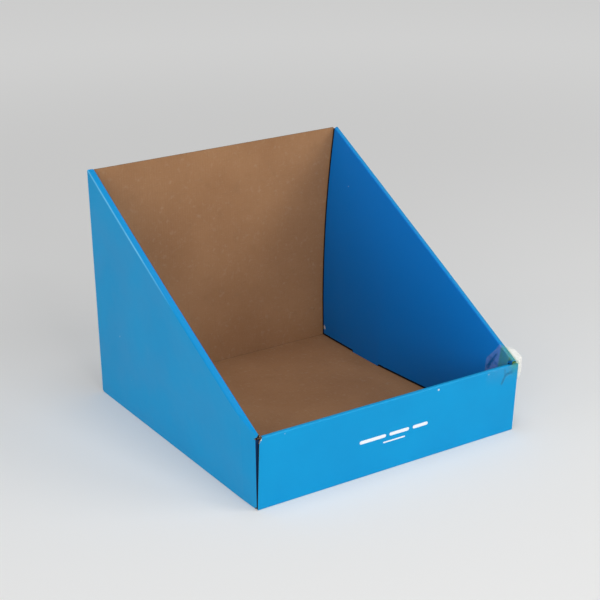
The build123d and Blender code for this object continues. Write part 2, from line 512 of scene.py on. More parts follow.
@dataclass(frozen=True)
class SatinPrint(Finish):
    """Blue satin print on the outside of the sheet: cracked, rubbed and given a painted highlight at the
    folds, and painted with shade on the inner panel, the ledge and the corner slit.
    """

    blue: Colour = (0.001, 0.314, 0.645, 1.0)
    deep: Colour = (0.001, 0.290, 0.612, 1.0)
    # Painted shade: a deeper blue for the inner panel, and in part for the ledge
    inside: Colour = (0.0005, 0.185, 0.600, 1.0)
    # Painted shade: near-black navy in the slit at the open front corners
    painted_shade: Colour = (0.0005, 0.020, 0.075, 1.0)
    # Lighter crease line: partly rubbed print, partly a painted highlight
    rubbed_and_highlit: Colour = (0.150, 0.520, 0.800, 1.0)
    paper: Colour = (0.80, 0.81, 0.80, 1.0)
    ink_white: Colour = (0.86, 0.89, 0.92, 1.0)
    bars: tuple[Bar, ...] = (
        Bar((-0.0249, 0.0, 0.0412), 0.0171, 0.0019),
        Bar((0.0098, 0.0, 0.0412), 0.0130, 0.0019),
        Bar((0.0379, 0.0, 0.0412), 0.0101, 0.0019),
        Bar((0.0030, 0.0, 0.0335), 0.0145, 0.0008),
    )
    front_limit: float = -0.1795
    nicks: tuple[Nick, ...] = (
        Nick((0.0623, -0.1805, 0.0768), 0.0010),
        Nick((0.1324, -0.1805, 0.0774), 0.0005),
        Nick((-0.1347, -0.1805, 0.0779), 0.0005),
        Nick((-0.1712, -0.1795, 0.0829), 0.0016),
        Nick((-0.1640, -0.1804, 0.0790), 0.0014),
        Nick((0.1499, 0.1750, 0.0130), 0.0028),
    )
    # Shading values over which the print turns to painted shade in the slit
    deep_shade_span: Span = (1.2, 1.8)
    fibre_scale: float = 160.0
    dust_scale: float = 240.0
    dust_share: float = 0.004
    dust_cover: float = 0.35
    smear_scale: float = 22.0
    satin: Span = (0.40, 0.50)
    torn_roughness: float = 0.4
    specular: float = 0.16
    flute_depth: float = 0.000012
    tooth_depth: float = 0.000006
    cloud_depth: float = 0.0004
    torn_depth: float = 0.00008
    name = "satin_blue_print"

    def paint(self, on: Surface) -> None:
        """Wire up the print.

        Args:
            on: Surface that takes it.
        """
        shading = on.attribute("shading")
        pulp = on.fibre(self.fibre_scale)
        wear = on.group(on.effects.cracks, Vector=on.where, Crease=on.attribute("crease"))
        colour = on.mix(on.step(pulp["Cloud"], *MIDDLE), self.deep, self.blue)
        # Painted shade: the inner panel and, in part, the ledge turn a deeper blue
        colour = on.mix(on.math("MINIMUM", shading, 1.0), colour, self.inside)
        # Painted shade: near-black navy in the slit at the open front corners
        colour = on.mix(on.step(shading, *self.deep_shade_span), colour, self.painted_shade)
        on_front = on.math("LESS_THAN", on.split(on.where)[1], self.front_limit)
        for bar in self.bars:
            sizes = {"Half_Length": bar.half_length, "Half_Height": bar.half_height}
            mask = on.group(on.effects.bar, Vector=on.where, Centre=bar.centre, **sizes)[0]
            colour = on.mix(on.times(mask, on_front), colour, self.ink_white)
        # Creases turn lighter from rubbing and a painted highlight
        colour = on.mix(wear["Rub"], colour, self.rubbed_and_highlit)
        dust = on.specks(self.dust_scale, self.dust_share)
        colour = on.mix(on.times(dust, self.dust_cover), colour, self.paper)
        torn = on.math("MAXIMUM", wear["Crack"], on.nicked(self.nicks))
        smear = on.noise(on.where, self.smear_scale, detail=3.0, rough=0.55)
        satin = on.step(smear, *MIDDLE, *self.satin)
        on.wire(
            on.shader,
            Base_Color=on.mix(torn, colour, self.paper),
            Roughness=on.math("MULTIPLY_ADD", torn, self.torn_roughness, satin, clamp=True),
            Specular_IOR_Level=self.specular,
        )
        on.bump(
            (on.flutes()["Height"], self.flute_depth),
            (pulp["Tooth"], self.tooth_depth),
            (pulp["Cloud"], self.cloud_depth),
            (torn, -self.torn_depth),
        )


@dataclass(frozen=True)
class BareKraft(Finish):
    """Bare brown liner on the inside of the sheet, darkened with painted shade in its crease valleys and
    where it lies in a hollow wall.
    """

    light: Colour = (0.371, 0.191, 0.087, 1.0)
    dark: Colour = (0.322, 0.159, 0.070, 1.0)
    pale_fibre: Colour = (0.44, 0.30, 0.185, 1.0)
    dark_fibre: Colour = (0.155, 0.087, 0.045, 1.0)
    # Painted shade in the crease valleys and the hollow walls
    painted_shade: Colour = (0.010, 0.007, 0.005, 1.0)
    stains: tuple[Nick, ...] = (Nick((0.1364, 0.1789, 0.0403), 0.0008),)
    fibre_scale: float = 150.0
    fibre_cover: float = 0.30
    coarse_scale: float = 60.0
    coarse_cover: float = 0.12
    shive_scale: float = 320.0
    shive_share: float = 0.06
    shive_cover: float = 0.35
    flute_cover: float = 0.10
    # Crease values over which painted shade darkens the valley, and how much
    crease_shade_span: Span = (0.10, 0.26)
    crease_shade_cover: float = 0.55
    roughness: Span = (0.72, 0.92)
    specular: float = 0.3
    flute_depth: float = 0.00003
    tooth_depth: float = 0.00002
    fibre_depth: float = 0.000015
    name = "bare_kraft"

    def paint(self, on: Surface) -> None:
        """Wire up the liner.

        Args:
            on: Surface that takes it.
        """
        pulp = on.fibre(self.fibre_scale)
        flutes = on.flutes()["Height"]
        colour = on.mix(on.step(pulp["Cloud"], *MIDDLE), self.dark, self.light)
        for mask, cover, above in (
            (flutes, self.flute_cover, self.dark),
            (pulp["Fibre"], self.fibre_cover, self.pale_fibre),
            (on.fibre(self.coarse_scale)["Fibre"], self.coarse_cover, self.dark_fibre),
            (on.specks(self.shive_scale, self.shive_share), self.shive_cover, self.dark_fibre),
            (on.nicked(self.stains), 1.0, self.dark_fibre),
            # Painted shade in the crease valley
            (on.step(on.attribute("crease"), *self.crease_shade_span), self.crease_shade_cover, self.painted_shade),
        ):
            colour = on.mix(on.times(mask, cover), colour, above)
        on.wire(
            on.shader,
            # Painted shade where the liner lies in a hollow wall
            Base_Color=on.shaded(colour, self.painted_shade),
            Roughness=on.step(pulp["Tooth"], *WIDE, *self.roughness),
            Specular_IOR_Level=self.specular,
        )
        on.bump(
            (flutes, self.flute_depth),
            (pulp["Tooth"], self.tooth_depth),
            (pulp["Fibre"], self.fibre_depth),
        )


@dataclass(frozen=True)
class CutEdge(Finish):
    """Cut edge of the board, with the flutes between its two liners, painted shade in their channels and in
    the hollow walls; depths are shares of the board.
    """

    liner: Colour = (0.40, 0.265, 0.16, 1.0)
    print_liner: Colour = (0.72, 0.70, 0.64, 1.0)
    # Painted shade in the open flute channels
    hollow: Colour = (0.115, 0.066, 0.035, 1.0)
    medium: Colour = (0.33, 0.21, 0.122, 1.0)
    # Painted shade where the edge lies in a hollow wall
    painted_shade: Colour = (0.012, 0.009, 0.007, 1.0)
    fibre_scale: float = 240.0
    fibre_cover: float = 0.35
    ragged: float = 0.24
    liner_ragged: float = 0.4
    flute_swing: float = 0.30
    flute_edge: Span = (0.20, 0.10)
    kraft_edge: Span = (0.80, 0.86)
    print_edge: Span = (0.20, 0.13)
    roughness: Span = (0.8, 0.96)
    specular: float = 0.2
    solid_depth: float = 0.00012
    tooth_depth: float = 0.00004
    name = "cut_corrugated_edge"

    def paint(self, on: Surface) -> None:
        """Wire up the edge.

        Args:
            on: Surface that takes it.
        """
        depth = on.attribute("depth")
        pulp = on.fibre(self.fibre_scale)
        ragged = on.math("MULTIPLY_ADD", pulp["Tooth"], self.ragged, -self.ragged / 2)
        level = on.math("ADD", on.math("MULTIPLY_ADD", on.flutes()["Wave"], self.flute_swing, 0.5), ragged)
        flute = on.step(on.math("ABSOLUTE", on.math("SUBTRACT", depth, level)), *self.flute_edge)
        liner_depth = on.math("MULTIPLY_ADD", ragged, self.liner_ragged, depth)
        on_kraft = on.step(liner_depth, *self.kraft_edge)
        on_print = on.step(liner_depth, *self.print_edge)
        # Flute channels in painted shade, with the fluting paper between them
        colour = on.mix(flute, self.hollow, self.medium)
        colour = on.mix(on_kraft, colour, self.liner)
        colour = on.mix(on_print, colour, self.print_liner)
        colour = on.mix(on.times(pulp["Fibre"], self.fibre_cover), colour, self.liner)
        on.wire(
            on.shader,
            # Painted shade where the edge lies in a hollow wall
            Base_Color=on.shaded(colour, self.painted_shade),
            Roughness=on.step(pulp["Tooth"], *WIDE, *self.roughness),
            Specular_IOR_Level=self.specular,
        )
        solid = on.math("MAXIMUM", on.math("MAXIMUM", on_kraft, on_print), flute)
        on.bump((solid, self.solid_depth), (pulp["Tooth"], self.tooth_depth))


@dataclass(frozen=True)
class ClearFilm(Finish):
    """Clear film, hazy where its glue has let air in, milky where it stands free, and darkened with painted
    shade along its pinched lines.
    """

    haze: Colour = (0.44, 0.50, 0.88, 1.0)
    aired: Colour = (0.18, 0.57, 0.12, 1.0)
    milk: Colour = (0.88, 0.88, 0.84, 1.0)
    shade: Colour = (0.001, 0.05, 0.14, 1.0)
    dust_scale: float = 700.0
    dust_share: float = 0.08
    dust_cover: float = 0.12
    cloud_scale: float = 110.0
    pinch_scale: float = 420.0
    pinch_uneven: Span = (0.55, 1.1)
    pinch_limits: Span = (0.05, 0.65)
    # How strongly painted shade darkens the pinched lines
    pinch_shade_cover: float = 0.17
    haze_cover: Span = (0.09, 0.13)
    milk_clouds: Span = (0.25, 0.75)
    milk_cover: Span = (0.62, 0.82)
    gloss: Span = (0.16, 0.3)
    cloud_depth: float = 0.0003
    dust_depth: float = 0.00003
    name = "clear_film"

    def paint(self, on: Surface) -> None:
        """Wire up the film.

        Args:
            on: Surface that takes it.
        """
        free = on.attribute("free")
        dust = on.specks(self.dust_scale, self.dust_share)
        cloud = on.noise(on.where, self.cloud_scale, detail=3.0, rough=0.6)
        uneven = on.step(on.noise(on.where, self.pinch_scale), *MIDDLE, *self.pinch_uneven)
        pinched = on.step(on.times(on.attribute("ridge"), uneven), *self.pinch_limits)
        colour = on.mix(on.attribute("bridge"), self.haze, self.aired)
        # Pinched lines lose their haze and take painted shade
        colour = on.mix(pinched, on.mix(free, colour, self.milk), self.shade)
        patchy = on.step(cloud, *MIDDLE, *self.haze_cover)
        stuck = on.times(on.attribute("veil"), on.math("MULTIPLY_ADD", dust, self.dust_cover, patchy))
        pressed = on.math("SUBTRACT", self.pinch_shade_cover, stuck)
        cover = on.math("MULTIPLY_ADD", pinched, pressed, stuck)
        milky = on.math("SUBTRACT", on.step(cloud, *self.milk_clouds, *self.milk_cover), cover)
        on.wire(
            on.shader,
            Base_Color=colour,
            Alpha=on.math("MULTIPLY_ADD", free, milky, cover, clamp=True),
            Roughness=on.step(cloud, *MIDDLE, *self.gloss),
        )
        on.bump((cloud, self.cloud_depth), (dust, self.dust_depth))


@dataclass(frozen=True)
class Fold:
    """How tight a crease is on its printed side, in millimetres, and how strongly it is marked: cracked,
    rubbed and given a painted highlight on the print, painted with shade on the kraft.
    """

    radius: float
    # Crease mark: cracks, rubbing and a painted highlight on the print, painted shade on the kraft
    wear: float = FAINT_CREASE_MARK


class Sheet:
    """A sheet that is folded up from a few points, in millimetres, with its faces tagged by panel."""

    bm: BMesh
    tag: BMLayerItem

    def begin(self) -> None:
        """Start with nothing but the tags."""
        self.bm = bmesh.new()
        self.tag = self.bm.faces.layers.int.new("panel")

    def panels_at(self, part: BMVert | BMEdge) -> set[int]:
        """Return the tags of the panels that meet at a point or an edge."""
        return {face[self.tag] for face in part.link_faces}

    def edges_at(self, test: Callable[[Vector], bool]) -> list[BMEdge]:
        """Return the open edges whose two ends pass a test on their place."""
        return [e for e in self.bm.edges if e.is_boundary and all(test(v.co) for v in e.verts)]

    def fold_on(self, edges: list[BMEdge], place: Place, panel: int) -> list[BMEdge]:
        """Grow a panel from edges of the sheet.

        Args:
            edges: Edges that the panel is creased along.
            place: Gives the far end of the panel for a point on the crease.
            panel: Tag of the panel.

        Returns:
            The far edges of the panel.
        """
        grown = bmesh.ops.extrude_edge_only(self.bm, edges=edges)["geom"]
        fresh = {v for v in grown if isinstance(v, BMVert)}
        for vert in fresh:
            vert.co = place(vert.co.copy())
        for face in grown:
            if isinstance(face, BMFace):
                face[self.tag] = panel
        return [e for e in grown if isinstance(e, BMEdge) and fresh.issuperset(e.verts)]

    def cut(self, at: Vector, square_to: Vector, panels: Collection[int] = (), clear: bool = False) -> None:
        """Cut panels along a plane.

        Args:
            at: Point on the plane.
            square_to: Direction square to the plane.
            panels: Tags of the panels that are cut, all if there are none.
            clear: Whether what lies behind the plane is removed.
        """
        faces = [f for f in self.bm.faces if not panels or f[self.tag] in panels]
        edges = {e for f in faces for e in f.edges}
        verts = {v for f in faces for v in f.verts}
        geom = [*faces, *edges, *verts]
        bmesh.ops.bisect_plane(
            self.bm, geom=geom, dist=NEAR, plane_co=at, plane_no=square_to, clear_inner=clear
        )

    def slice(self, axis: Axis, at: float, panels: Collection[int] = (), clear: bool = False) -> None:
        """Cut panels square to an axis, at a place along it."""
        self.cut(axis.unit * at, axis.unit, panels, clear)

    def divide(self, axis: Axis, low: float, high: float, pitch: float) -> None:
        """Cut the whole sheet at even steps along an axis.

        Args:
            axis: Axis that the cuts run square to.
            low: Start of the steps.
            high: End of the steps.
            pitch: About how long a step is.
        """
        count = round((high - low) / pitch)
        for index in range(1, count):
            self.slice(axis, low + (high - low) * index / count)

    def drop(self, panels: Collection[int], test: Callable[[Vector], bool]) -> None:
        """Remove the faces of some panels whose middle passes a test on its place."""
        faces = [f for f in self.bm.faces if f[self.tag] in panels and test(f.calc_center_median())]
        bmesh.ops.delete(self.bm, geom=faces, context="FACES")

    def round_creases(self, segments: int, usual: Fold, folds: dict[tuple[int, ...], Fold]) -> None:
        """Round every edge between two panels and mark what is rounded as creased.

        Args:
            segments: Facets across a fold.
            usual: Fold where nothing else is said.
            folds: Other folds, by the two panels that meet there.
        """
        creased = self.bm.verts.layers.float.new("crease")

        def pair(edge: BMEdge) -> tuple[int, ...]:
            """Return the sorted tags of the panels that meet at an edge."""
            return tuple(sorted(self.panels_at(edge)))

        for kind in sorted({pair(e) for e in self.bm.edges if len(pair(e)) > 1}):
            edges = [e for e in self.bm.edges if pair(e) == kind]
            turn = max(e.calc_face_angle(0.0) for e in edges)
            if turn < FLAT_FOLD:
                continue
            fold = folds.get(kind, usual)
            made = bmesh.ops.bevel(
                self.bm,
                geom=edges,
                offset=fold.radius * math.tan(turn / 2),
                offset_type="OFFSET",
                segments=segments,
                profile=0.5,
                affect="EDGES",
                material=-1,
                clamp_overlap=False,
                loop_slide=True,
            )
            strip = set(made["faces"])
            for vert in made["verts"]:
                if strip.issuperset(vert.link_faces):
                    vert[creased] = fold.wear

    def face_out(self, outer: BMFace, out: Vector) -> None:
        """Turn the whole sheet over if a face of it points away from where it has to."""
        if outer.normal.dot(out) < 0:
            bmesh.ops.reverse_faces(self.bm, faces=self.bm.faces)

    def finished(self, name: str) -> Object:
        """Return the sheet as an object of this name, in metres."""
        bmesh.ops.scale(self.bm, vec=Vector((METRES_PER_MM,) * 3), verts=self.bm.verts)
        return meshed(name, self.bm)

    @staticmethod
    def thicken(piece: Object, thickness: float, skins: list[Material]) -> None:
        """Give a piece its thickness behind its printed side, and mark depth from 0 at the print to 1.

        Args:
            piece: Open sheet whose faces point to the printed side.
            thickness: Thickness in millimetres.
            skins: Materials that the two sides and the edge share out.
        """
        flat = piece.data
        for skin in skins:
            flat.materials.append(skin)
        outer = len(flat.vertices)
        board = piece.modifiers.new("board", "SOLIDIFY")
        board.thickness = thickness * METRES_PER_MM
        board.offset = -1.0
        board.use_even_offset = True
        board.use_quality_normals = True
        board.material_offset = min(Skin.KRAFT, len(skins) - 1)
        board.material_offset_rim = min(Skin.CUT_EDGE, len(skins) - 1)
        graph = bpy.context.evaluated_depsgraph_get()
        solid = piece.evaluated_get(graph)
        piece.data = bpy.data.meshes.new_from_object(solid, preserve_all_data_layers=True, depsgraph=graph)
        piece.modifiers.clear()
        bpy.data.meshes.remove(flat)
        piece.data.name = piece.name
        depth = piece.data.attributes.new("depth", "FLOAT", "POINT")
        depth.data.foreach_set("value", [float(v.index >= outer) for v in piece.data.vertices])

    @staticmethod
    def smooth(piece: Object, sharp: float) -> None:
        """Shade a piece smooth apart from its sharp edges, and weight its normals to the large faces.

        Args:
            piece: Piece with its thickness.
            sharp: Angle from which an edge stays sharp, in degrees.
        """
        piece.data.polygons.foreach_set("use_smooth", [True] * len(piece.data.polygons))
        piece.data.set_sharp_from_angle(angle=math.radians(sharp))
        weighted = piece.modifiers.new("weighted_normals", "WEIGHTED_NORMAL")
        weighted.keep_sharp = True


@dataclass
class FoldedTray(Sheet):
    """The printed sheet folded into a tray, in millimetres in the CAD frame."""

    half_width: float = 170.0
    depth: float = 361.0
    back_height: float = 279.0
    front_height: float = 83.0
    board: float = 1.6
    fold_radius: float = 1.9
    flap_fold_radius: float = 0.7
    foot_fold_radius: float = 0.9
    # Crease marks of the ledge and of the front's top fold, painted highlight included; the ledge's fades
    # out toward the front
    ledge_crease_mark: float = 1.0
    ledge_mark_from: float = -73.0
    ledge_mark_to: float = 70.0
    front_crease_mark: float = 0.33
    crease_segments: int = 4
    sharp_angle: float = 40.0
    layer_gap: float = 0.3
    fold_relief: float = 1.0
    slot_clearance: float = 0.6
    side_spread: float = 4.0
    ledge_run: float = 7.3
    ledge_rise: float = 3.2
    foot_inset: float = 20.0
    panel_bow: float = 6.5
    panel_foot: float = 4.1
    panel_back_cut: float = 4.5
    side_tab_length: float = 57.0
    side_tab_taper: float = 1.5
    side_tab_from_back: float = 101.0
    front_drop: float = 1.8
    front_foot_inset: float = 1.0
    front_top_inset: float = 1.0
    front_end_inset: float = 7.0
    front_tab_length: float = 45.0
    front_tab_taper: float = 1.5
    front_tab_place: float = 85.0
    corner_flap_length: float = 62.0
    corner_flap_taper: float = 9.0
    corner_flap_foot: float = 2.4
    corner_flap_top: float = 79.3
    back_flap_length: float = 48.0
    back_notch_x: float = 166.4
    rear_trim: float = 0.3
    tab_lift: float = 0.1
    notch_in: float = 3.5
    notch_back: float = 4.0
    bow_rows: int = 16
    grid_pitch: float = 26.0
    spread_front: float = 0.0205
    lean_front: float = -0.001
    lean_back: float = 0.0075
    front_rack: float = 0.060
    spring: float = 5.6
    spring_length: float = 100.0
    # How deep the painted shade on the print goes: full on the inner panel, in part on the ledge, deeper
    # still in the corner slit and at the inner panel's front end
    flap_shade: float = 2.0
    end_shade: float = 1.5
    inside_shade: float = 1.0
    ledge_shade: float = 0.3
    corner_reach: float = 40.0
    corner_foot_pull: float = 1.0
    corner_pull: float = 4.9
    end_lean: float = 1.0
    back_sink: float = 0.3
    back_tilt: float = 0.7
    wobble: float = 0.22
    wobble_length: float = 75.0
    worn_length: float = 20.0
    worn_height: float = 8.0
    worn_left: float = 4.2
    worn_right: float = 1.0
    wear_steps: tuple[float, ...] = (0.0, 0.35, 0.65)

    def __post_init__(self) -> None:
        """Work out the places that follow from the sizes."""
        self.front_y = -self.depth / 2
        self.back_y = self.depth / 2
        self.front_stack = 3 * self.board + 2 * self.layer_gap
        self.front_top = self.front_height - self.front_drop
        self.flap_y = self.front_y + self.board + self.layer_gap
        self.side_start_y = self.flap_y + self.fold_radius + self.fold_relief
        self.side_end_y = self.back_y - self.fold_radius - self.fold_relief
        self.inside_y = self.front_y + self.front_stack
        self.ledge_start_y = self.inside_y + self.layer_gap
        self.panel_end_y = self.back_y - self.panel_back_cut
        self.back_flap_x = self.half_width - self.board - self.layer_gap
        self.back_top = self.back_height - self.board - self.layer_gap
        self.tab_rear_y = self.back_y - self.side_tab_from_back + self.side_tab_length / 2
        self.tab_front_y = self.tab_rear_y - self.side_tab_length
        self.slope = (self.back_height - self.front_height) / self.depth
        self.shade_depth = {
            Panel.CORNER_FLAP: self.flap_shade,
            Panel.SIDE_INSIDE: self.inside_shade,
            Panel.LEDGE: self.ledge_shade,
        }
        self.folds = {
            (Panel.SIDE, Panel.LEDGE): Fold(self.fold_radius, self.ledge_crease_mark),
            (Panel.FRONT, Panel.FRONT_ROLL): Fold(self.fold_radius, self.front_crease_mark),
            (Panel.SIDE, Panel.CORNER_FLAP): Fold(self.flap_fold_radius),
            (Panel.FLOOR, Panel.FRONT): Fold(self.foot_fold_radius),
            (Panel.FLOOR, Panel.SIDE): Fold(self.foot_fold_radius),
        }

    def lean(self, z: float) -> float:
        """Return how far a side stands out at a height."""
        return self.side_spread * z / self.back_height

    def outer_crease(self, y: float) -> Vector:
        """Return the point of the right outer crease at a depth."""
        z = self.back_height - self.slope * (self.back_y - y)
        return Vector((self.half_width + self.lean(z), y, z))

    def inner_crease(self, y: float) -> Vector:
        """Return the point of the right inner crease at a depth."""
        return self.outer_crease(y) + Vector((-self.ledge_run, 0, self.ledge_rise))

    def bow(self, share: float) -> Vector:
        """Step from the inner crease down the bowed inner panel.

        Args:
            share: Share of the way from the crease to the foot at the back of the tray.

        Returns:
            The step in X and Z.
        """
        start = self.inner_crease(self.back_y)
        chord = Vector((self.half_width - self.foot_inset - start.x, 0, -start.z))
        belly = Vector((chord.z, 0, -chord.x)).normalized() * self.panel_bow
        return chord * share + belly * (4 * share * (1 - share))

    def panel_x(self, y: float, z: float) -> float:
        """Find where the right inner panel is, by halving the way down it.

        Args:
            y: Depth.
            z: Height.

        Returns:
            Its place in X.
        """
        start = self.inner_crease(y)
        low, high = 0.0, 1.0
        for _ in range(HALVINGS):
            middle = (low + high) / 2
            if start.z + self.bow(middle).z > z:
                low = middle
            else:
                high = middle
        return start.x + self.bow(low).x

    def build(self) -> Object:
        """Fold the sheet.

        Returns:
            The piece, still without its thickness.
        """
        self.begin()
        self._floor()
        self._front()
        self._back()
        self._side()
        self._trim_inner_panel()
        self._corner_flap()
        self.round_creases(self.crease_segments, Fold(self.fold_radius), self.folds)
        self._clear_front_wall()
        self._grid()
        self._mirror()
        self._map_blank()
        self._mark()
        self._settle()
        return self.finished("folded_sheet")

    def _floor(self) -> None:
        """Lay the right half of the floor, notched at its corners and slotted for the lock tabs."""
        outline = (
            (0, self.back_y),
            (self.back_flap_x - self.fold_radius, self.back_y),
            (self.half_width - self.notch_in - self.fold_radius, self.back_y - self.notch_back),
            (self.half_width, self.side_end_y),
            (self.half_width, self.side_start_y),
            (self.half_width - self.notch_in, self.front_y + self.notch_back),
            (self.half_width - self.front_foot_inset, self.front_y),
            (0, self.front_y),
        )
        self.bm.faces.new([self.bm.verts.new((x, y, 0)) for x, y in outline])
        for ends in self._slots():
            for axis, places in zip(Axis, ends):
                for at in places:
                    self.slice(axis, at)
            self.drop({Panel.FLOOR}, lambda co: all(low < at < high for (low, high), at in zip(ends, co)))

    def _slots(self) -> tuple[tuple[Span, Span], ...]:
        """Work out the floor's slots for the side tab and the front tab.

        Returns:
            The ends of each slot in X and in Y.
        """
        gap, half = self.slot_clearance, self.front_tab_length / 2
        front, rear = self.tab_front_y, self.tab_rear_y
        places = [self.panel_x(y, z) for y in (front, rear) for z in (0, self.panel_foot)]
        side_x = (min(places) - gap, max(places) + self.board + gap)
        front_x = (self.front_tab_place - half - gap, self.front_tab_place + half + gap)
        front_y = (self.inside_y - self.board - gap, self.inside_y + gap)
        return (side_x, (front - gap, rear + gap)), (front_x, front_y)

    def _front(self) -> None:
        """Fold up the front wall, roll it over and run its inner panel down to the tabs."""
        foot_x = self.half_width - self.front_foot_inset
        top_x = self.half_width - self.front_top_inset
        inner_x = self.half_width - self.front_end_inset
        middle, half = self.front_tab_place, self.front_tab_length / 2
        share = (half - self.front_tab_taper) / half

        def drawn_in(to_x: float, from_x: float, y: float, z: float) -> Place:
            """Return a place that scales a crease in X and puts it at a depth and height."""
            return lambda co: Vector((co.x * to_x / from_x, y, z))

        def tapered(co: Vector) -> Vector:
            """Return the end of the tab below a point of its root."""
            return Vector((middle + (co.x - middle) * share, co.y, self.tab_lift))

        edges = self.edges_at(lambda co: meets(co.y, self.front_y))
        edges = self.fold_on(edges, drawn_in(top_x, foot_x, self.front_y, self.front_top), Panel.FRONT)
        edges = self.fold_on(edges, drawn_in(1, 1, self.inside_y, self.front_top), Panel.FRONT_ROLL)
        self.fold_on(edges, drawn_in(inner_x, top_x, self.inside_y, self.panel_foot), Panel.FRONT_INSIDE)
        for end in (middle - half, middle + half):
            self.slice(Axis.X, end, {Panel.FRONT_INSIDE})
        root = self.edges_at(lambda co: meets(co.z, self.panel_foot) and abs(co.x - middle) < half + NEAR)
        self.fold_on(root, tapered, Panel.FRONT_INSIDE)

    def _back(self) -> None:
        """Fold up the back panel and turn its flap forward inside the side wall."""

        def flap_x(z: float) -> float:
            """Return where the fold of the flap is at a height."""
            return self.back_flap_x + self.lean(z)

        def widened(z: float, from_x: float) -> Place:
            """Return a place that widens an edge of the back panel to a height."""
            return lambda co: Vector((co.x * flap_x(z) / from_x, self.back_y, z))

        def forward(co: Vector) -> Vector:
            """Return the free end of the flap beside a point of its fold."""
            z = co.z - self.slope * self.back_flap_length * (co.z > self.back_height / 2)
            return Vector((flap_x(z), self.back_y - self.back_flap_length, z))

        foot = self.edges_at(lambda co: meets(co.y, self.back_y) and meets(co.z, 0))
        row = self.fold_on(foot, widened(self.panel_foot, self.back_flap_x - self.fold_radius), Panel.BACK)
        self.fold_on(row, widened(self.back_top, flap_x(self.panel_foot)), Panel.BACK)
        self.slice(Axis.X, self.back_notch_x, {Panel.BACK})
        top = self.edges_at(lambda co: meets(co.z, self.back_top) and co.x < self.back_notch_x + NEAR)
        self.fold_on(top, lambda co: Vector((co.x, co.y, self.back_height)), Panel.BACK)
        fold = self.edges_at(lambda co: meets(co.y, self.back_y) and meets(co.x, flap_x(co.z)))
        self.fold_on(fold, forward, Panel.BACK_FLAP)

    def _side(self) -> None:
        """Fold up the right side, roll it over its ledge and run its bowed inner panel down."""

        def level(z: float) -> Place:
            """Return a place on the outer panel at a height, with its back edge out at the back."""
            x, rear = self.half_width + self.lean(z), self.back_y - self.rear_trim
            return lambda co: Vector((x, rear if co.y > self.side_end_y - NEAR else co.y, z))

        def rim(co: Vector) -> Vector:
            """Return the point of the outer crease above a point, or on the front face at its front end."""
            return self.outer_crease(self.front_y if co.y < self.side_start_y + NEAR else co.y)

        def ledge(co: Vector) -> Vector:
            """Return the point of the inner crease across the ledge."""
            return self.inner_crease(min(co.y, self.panel_end_y))

        edges = self.edges_at(lambda co: meets(co.x, self.half_width) and meets(co.z, 0))
        for z in (self.corner_flap_foot, self.corner_flap_top):
            edges = self.fold_on(edges, level(z), Panel.SIDE)
        edges = self.fold_on(edges, rim, Panel.SIDE)
        edges = self.fold_on(edges, ledge, Panel.LEDGE)
        for row in range(self.bow_rows):
            step = self.bow((row + 1) / self.bow_rows) - self.bow(row / self.bow_rows)
            edges = self.fold_on(edges, lambda co: co + step, Panel.SIDE_INSIDE)

    def _trim_inner_panel(self) -> None:
        """Cut the foot of the inner panel level, leaving its lock tab."""
        inner = {Panel.SIDE_INSIDE}
        fall = self.panel_foot / self.side_tab_taper
        ends = (
            (Vector((0, self.tab_front_y, self.panel_foot)), Vector((0, fall, 1))),
            (Vector((0, self.tab_rear_y, self.panel_foot)), Vector((0, -fall, 1))),
        )
        for at, square_to in ends:
            self.cut(at, square_to, inner)
        self.slice(Axis.Z, self.panel_foot, inner)

        def outside_tab(co: Vector) -> bool:
            """Tell whether a point lies below the foot and beside the tab."""
            return co.z < self.panel_foot and any((co - at).dot(square_to) < 0 for at, square_to in ends)

        self.drop(inner, outside_tab)
        self.slice(Axis.Z, self.tab_lift, inner, clear=True)

    def _corner_flap(self) -> None:
        """Run the side's front edge on past its fold and turn the corner flap in behind the front panel."""
        low, high = self.corner_flap_foot - NEAR, self.corner_flap_top + NEAR
        root = self.edges_at(lambda co: meets(co.y, self.side_start_y) and low < co.z < high)
        fold = self.fold_on(root, lambda co: Vector((co.x, self.flap_y, co.z)), Panel.SIDE)

        def inward(co: Vector) -> Vector:
            """Return the tip of the flap beside a point of its fold."""
            taper = math.copysign(self.corner_flap_taper, self.corner_flap_top / 2 - co.z)
            return Vector((self.half_width - self.corner_flap_length, self.flap_y, co.z + taper))

        self.fold_on(fold, inward, Panel.CORNER_FLAP)

    def _clear_front_wall(self) -> None:
        """Cut the inner panel back behind the front wall, below the end of the ledge."""
        inner = {Panel.LEDGE, Panel.SIDE_INSIDE}
        side, end, top = self.half_width - self.board, self.ledge_start_y, self.front_top + self.layer_gap
        self.slice(Axis.Y, end, inner)
        self.slice(Axis.Z, top, inner)
        self.drop(inner, lambda co: co.x < side and co.y < end and co.z < top)

    def _grid(self) -> None:
        """Divide the panels so that they can settle, more finely where the front wall is worn."""
        for share in self.wear_steps:
            left = 1 - share
            self.slice(Axis.Y, self.front_y + self.corner_reach * left, {Panel.SIDE, Panel.LEDGE})
            self.slice(Axis.X, self.half_width - self.worn_length * left, FRONT_PANELS)
            self.slice(Axis.Z, self.front_top - self.worn_height * left, FRONT_PANELS)
        self.divide(Axis.X, 0.0, self.half_width, self.grid_pitch)
        self.divide(Axis.Y, self.front_y, self.back_y, self.grid_pitch)
        self.divide(Axis.Z, 0.0, self.back_height, self.grid_pitch)

